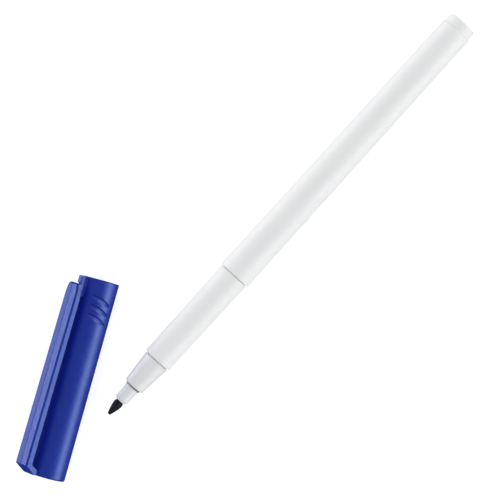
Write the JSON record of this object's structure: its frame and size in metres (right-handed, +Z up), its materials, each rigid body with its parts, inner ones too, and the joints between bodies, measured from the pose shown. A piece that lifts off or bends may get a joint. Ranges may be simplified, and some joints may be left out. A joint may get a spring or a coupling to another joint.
{
  "type": "fabric marking pen",
  "caption": "Fibre-tipped fabric marking pen lying on its side with its clipped push-on cap off and laid beside the nib.",
  "frame": {"origin": "centre of the whole in plan, on the surface that the pen and its cap lie on", "axes": "+Y along the pen from its nib to its tail, +X from the cap towards the pen, +Z up"},
  "size_m": [0.0362, 0.167, 0.0122],
  "materials": {
    "white_plastic": "moulded white plastic, satin",
    "natural_plastic": "moulded unpigmented plastic, slightly grey-blue, glossy",
    "blue_plastic": "moulded royal blue plastic, satin gloss",
    "liner_plastic": "soft moulded plastic, matt",
    "nib_fibre": "pressed fibre soaked in dark ink",
    "ink_felt": "felt soaked in blue ink",
    "clear_film": "thin plastic film"
  },
  "bodies": {
    "pen": {"nib": "nib_fibre", "nib_collar": "natural_plastic", "nose_cone": "natural_plastic", "front_barrel": "white_plastic", "rear_barrel": "white_plastic", "end_plug": "white_plastic", "ink_reservoir": "ink_felt", "reservoir_wrap": "clear_film"},
    "cap": {"cap_shell": "blue_plastic", "inner_cap": "liner_plastic"},
    "clip": {"cap_clip": "blue_plastic"}
  },
  "joints": [
    {"name": "cap_swing", "type": "hinge", "parent": "pen", "child": "cap", "pos_m": [-0.08642, -0.10648, 0.00495], "axis": [0, 0, -1], "range_deg": [0, 26.58]},
    {"name": "clip_flex", "type": "hinge", "parent": "cap", "child": "clip", "pos_m": [0.00826, -0.08216, 0.00801], "axis": [0.5257, 0.263, 0.809], "range_deg": [0, 4], "stiffness_Nm_per_rad": 0.6}
  ]
}
